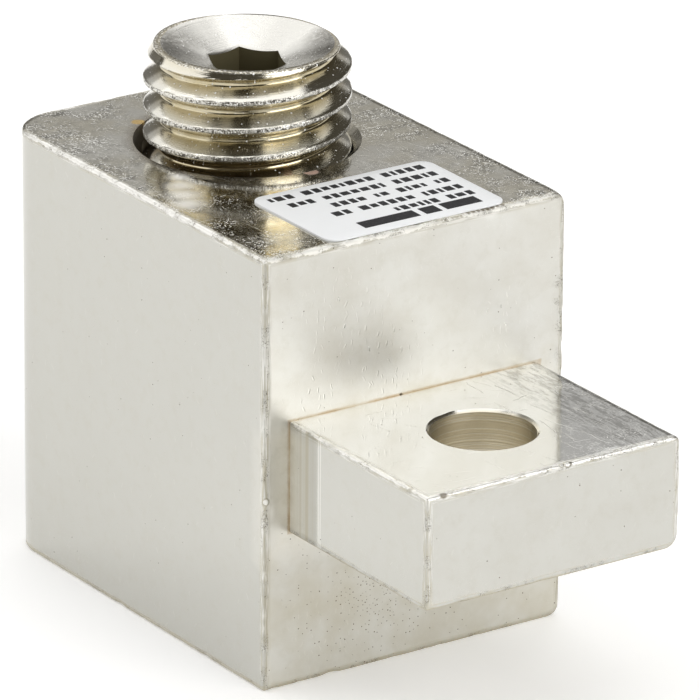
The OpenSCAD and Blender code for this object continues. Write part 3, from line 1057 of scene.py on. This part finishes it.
def screw_plate():
    n = Nodes("screw_plate")
    coordinates = n.add("TexCoord", {})
    place = coordinates["Object"]
    _, _, upwards = n.apart(coordinates["Normal"])
    x, _, z = n.apart(place)
    radius = axis_gap(n, place, screw_x, screw_y)
    dish = (upwards > 0.5) * (z > rim_z - 1.9 * MM) * (radius < DISH_R)
    socket = (radius < SOCKET_FLAT * 1.17) * (1 - dish) * (z > tip_z + 2 * MM)

    grit = n.noise(place, 0.14, 3, 0.75)
    lip = (z.spread(rim_z - 0.18 * MM, rim_z - 0.08 * MM)
           * radius.spread(DISH_R - 0.1 * MM, DISH_R + 0.05 * MM))
    high = (radius + grit * (0.3 * MM)).spread(crest_r + 0.05 * MM, crest_r + 0.11 * MM)
    crest = n.most(high, lip * 0.7)
    chewed = (x.over(1, 6, 1, 0.35)
              * n.noise(place, 1.0, 2, 0.5).spread(0.36, 0.50, 0.2, 1))
    fleck = n.noise(place, 0.17, 1, 0.5)
    # Dark flecks on the chewed crests, and white ones that are painted glints standing in for the
    # crests' sparkle.
    dark_flecks = crest * chewed * fleck.spread(0.485, 0.50, 1, 0)
    painted_glints = crest * chewed * fleck.spread(0.575, 0.59)
    specks = n.add("TexVoronoi", {"Vector": place, "Scale": 1 / (0.42 * MM)})
    chance = n.apart(specks["Color"])
    speck_size = (chance[1] ** 3).spread(0, 1, 0.09, 0.22)
    dust = (Number(n, specks["Distance"]) < speck_size) * (chance[0] < 0.6) * (1 - socket)

    clouds = n.noise(place, 2.5, 3, 0.6)
    deep = radius.spread(root_r, crest_r - 0.4 * MM, 1, 0.1) * (1 - dish)
    # Dish patches: partly real mottling, partly painted shade in place of dark reflections.
    tarnish_and_painted_shade = (dish * spots(n, place, DISH_PATCHES, 0.8)
               * n.noise(place, 0.5, 4, 0.75).spread(0.40, 0.56, 0.4, 1))
    scuffs = (dish * scratches(n, place, 0.9, 0.9, 0.08, 0.7)
              * clouds.spread(0.45, 0.6))
    colour = n.coated(BRIGHT, [
        (deep * clouds.spread(0.3, 0.7, 0.65, 1), BRASSY),
        (dish, DISH_METAL),
        # Painted shade, with some real mottling, in the dish.
        (tarnish_and_painted_shade, DISH_SHADE),
        (socket, SOCKET_WALL),
        (dark_flecks, DARK_FLECK),
        # Dust, and painted glints on the crests.
        (n.most(painted_glints, dust), DUST_AND_PAINTED_GLINT),
    ])
    matt = n.most(painted_glints * 0.6, dust, dark_flecks * 0.7, socket * 0.3)
    rough = (clouds.spread(0.3, 0.7, 0.08, 0.14) + dish * 0.14 + matt * 0.4 + socket * 0.25
             + scuffs * 0.2)
    turned = n.noise(n.vector(radius, 0, z), 0.14, 3, 0.65)
    height = turned * 0.010 + scuffs * -0.008 + grit * crest.spread(0, 1, 0.002, 0.014)
    return n.finish({"Base Color": colour, "Metallic": 1 - matt, "Roughness": rough,
                     "Normal": n.bump(height)})


# %% [markdown]
# ## Film, ink and floor
# The film is plain and slightly wavy, the ink is a matt black that wears to dark grey, and
# the floor is a white sheet that glows a little, as a product table does.


# %% Label film, ink and glowing card
def label_film():
    n = Nodes("label_film")
    place = n.add("TexCoord", {})["Object"]
    mottle = n.noise(place, 1.5, 3, 0.6)
    return n.finish({
        "Base Color": n.mixed(mottle, (0.85, 0.865, 0.88, 1), (0.88, 0.895, 0.91, 1)),
        "Roughness": mottle.spread(0.3, 0.7, 0.42, 0.5), "Specular IOR Level": 0.3,
        "Normal": n.bump(n.noise(place, 3, 1, 0.5), 0.012 * MM)})


def ink_film():
    n = Nodes("ink_film")
    worn = n.noise(n.add("TexCoord", {})["Object"], 0.3, 2, 0.6)
    black, grey = (0.012, 0.012, 0.014, 1), (0.06, 0.06, 0.065, 1)
    return n.finish({"Base Color": n.mixed(worn.spread(0.55, 0.75), black, grey),
                     "Roughness": worn.spread(0.3, 0.7, 0.5, 0.65),
                     "Specular IOR Level": 0.2})


def glowing_card(name, colour, glow):
    """Matt sheet that is also lit from behind."""
    return Nodes(name).finish({"Base Color": (*colour, 1), "Roughness": 0.9,
                               "Emission Color": (1, 1, 1, 1), "Emission Strength": glow})


block.data.materials.clear()
for piece, recipe in ((block, tin_plate), (screw, screw_plate), (film, label_film), (ink, ink_film)):
    piece.data.materials.append(recipe())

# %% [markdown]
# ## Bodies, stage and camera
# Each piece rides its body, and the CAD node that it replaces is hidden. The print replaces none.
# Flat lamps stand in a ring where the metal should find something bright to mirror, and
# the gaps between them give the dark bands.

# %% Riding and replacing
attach(block, "block")
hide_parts("terminal_body")
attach(screw, "screw")
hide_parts("clamp_screw")
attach(film, "block")
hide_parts("rating_label")
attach(ink, "block")

# %% Floor, world and lights
VIEW_AZIMUTH, VIEW_ELEVATION, VIEW_ROLL = (math.radians(v) for v in (-34.249, 21.272, 0.414))
FLOOR_HALF = 3.0
floor_mesh = bpy.data.meshes.new("floor")
floor_corners = [(FLOOR_HALF * x, FLOOR_HALF * y, 0) for x, y in
                 ((-1, -1), (1, -1), (1, 1), (-1, 1))]
floor_mesh.from_pydata(floor_corners, [], [(0, 1, 2, 3)])
floor = placed("floor", floor_mesh)
floor_mesh.materials.append(glowing_card("pale_floor", (0.90, 0.90, 0.90), 0.28))

sky = Nodes("studio", bpy.data.worlds)
bpy.context.scene.world = sky.owner
seen = sky.add("LightPath", {})["Is Camera Ray"]
tone = sky.mixed(seen, (0.075, 0.068, 0.053, 1), (0.95, 0.95, 0.95, 1))
sky.wire(sky.tree.nodes["Background"], {"Color": tone, "Strength": 1.0})


def direction(turn, height):
    """Unit vector away from the object, turned rightwards from -Y and then raised."""
    level = math.cos(height)
    return Vector((math.sin(turn) * level, -math.cos(turn) * level, math.sin(height)))


def softbox(name, turn, height, half_turn, half_height, radiance, distance=1.6):
    """Flat lamp facing the object, wide and tall enough for the angles it should fill.

    Turn is measured from the camera's side, rightwards, and all angles are in degrees.
    A flat lamp's power is pi x its area x its radiance.
    """
    a, e = math.radians(turn) + VIEW_AZIMUTH, math.radians(height)
    width = 2 * distance * math.tan(math.radians(half_turn) * max(math.cos(e), 0.5))
    tall = 2 * distance * math.tan(math.radians(half_height))
    lamp = bpy.data.lights.new(name, "AREA")
    lamp.shape = "RECTANGLE"
    lamp.size, lamp.size_y = width, tall
    lamp.energy = math.pi * width * tall * radiance
    obj = placed(name, lamp)
    way = direction(a, e)
    obj.location = Vector((0, 0, 0.02)) + distance * way
    obj.rotation_euler = way.to_track_quat("Z", "Y").to_euler()
    obj.visible_camera = False


SOFTBOXES = {
    # turn, height, half of the turn, half of the height, radiance
    "right_low": (50, 21, 24, 20, 3.2),
    "right_high": (48, 51, 26, 11, 1.0),
    "left_low": (275, 21, 34, 20, 1.30),
    "left_high": (255, 51, 25, 11, 0.9),
    "back_high": (193, 51, 42, 11, 1.35),
    "back_mid": (195, 33, 40, 8, 1.1),
    "back_sill": (195, 21, 40, 4, 0.46),
    "back_low": (195, 9, 40, 8, 0.12),
    "overhead": (180, 90, 56, 28, 1.4),
}
for name, numbers in SOFTBOXES.items():
    softbox(name, *numbers)

# %% Camera
VIEW_DISTANCE = 685.2 * MM
aim = Vector((-5.83 * MM, front_y, 28.79 * MM))
back = direction(VIEW_AZIMUTH, VIEW_ELEVATION)
level = Vector((math.cos(VIEW_AZIMUTH), math.sin(VIEW_AZIMUTH), 0))
upright = back.cross(level)
right = level * math.cos(VIEW_ROLL) + upright * math.sin(VIEW_ROLL)
up = upright * math.cos(VIEW_ROLL) - level * math.sin(VIEW_ROLL)

lens = bpy.data.cameras.new("camera")
lens.sensor_width = 36
lens.lens = 422.5
lens.shift_x = -0.01226
lens.shift_y = 0.00193
camera = placed("camera", lens)
camera.matrix_world = Matrix.Translation(aim + VIEW_DISTANCE * back) @ Matrix(
    (right, up, back)).transposed().to_4x4()
bpy.context.scene.camera = camera
bpy.context.scene.view_settings.view_transform = "Standard"
